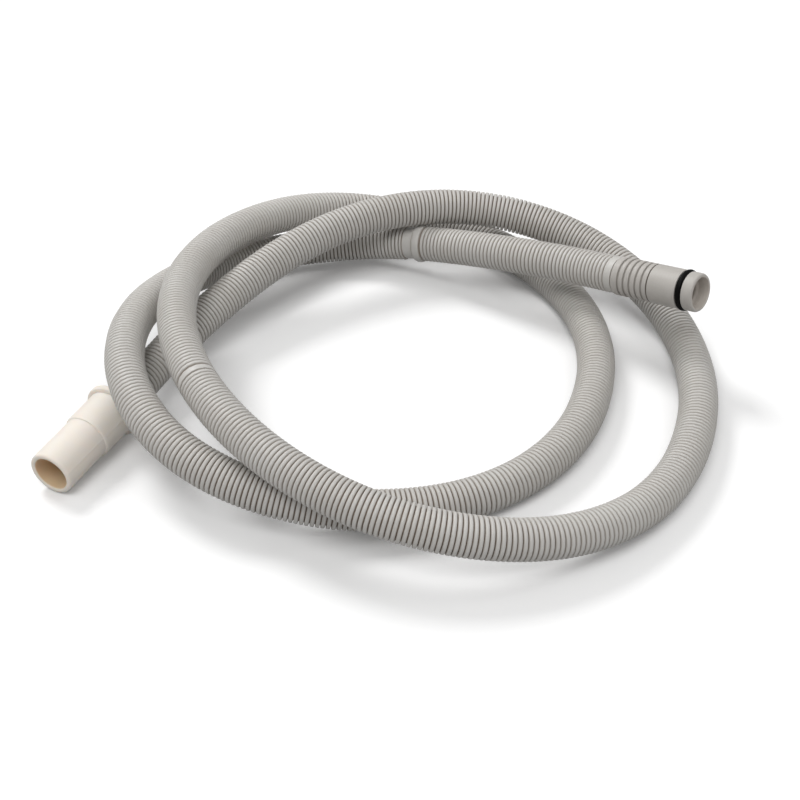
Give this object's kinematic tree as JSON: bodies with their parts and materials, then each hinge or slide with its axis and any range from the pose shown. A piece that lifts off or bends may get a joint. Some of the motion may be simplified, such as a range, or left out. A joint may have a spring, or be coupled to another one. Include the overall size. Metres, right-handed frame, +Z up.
{
  "type": "dishwasher drain hose",
  "caption": "Light grey corrugated drain hose lying in loose loops, with a grey O-ring pump spigot at its upper end and a cream straight drain coupling at its lower end.",
  "frame": {"origin": "on the floor that the hose lies on, under the middle of the whole part", "axes": "+X along the longest side of the coils, from the coupling's side to the spigot's side; +Y across the coils on the floor, away from the coupling's mouth; +Z up from the floor"},
  "size_m": [0.375, 0.3393, 0.0689],
  "materials": {
    "hose": "satin blow-moulded polypropylene, light warm grey",
    "spigot": "satin moulded plastic, light warm grey",
    "seal": "smooth black rubber with a slight sheen",
    "coupling": "satin moulded soft plastic, cream"
  },
  "bodies": {
    "root": {"corrugated_hose": "hose", "pump_spigot": "spigot", "o_ring_seal": "seal", "drain_coupling": "coupling"}
  },
  "joints": []
}
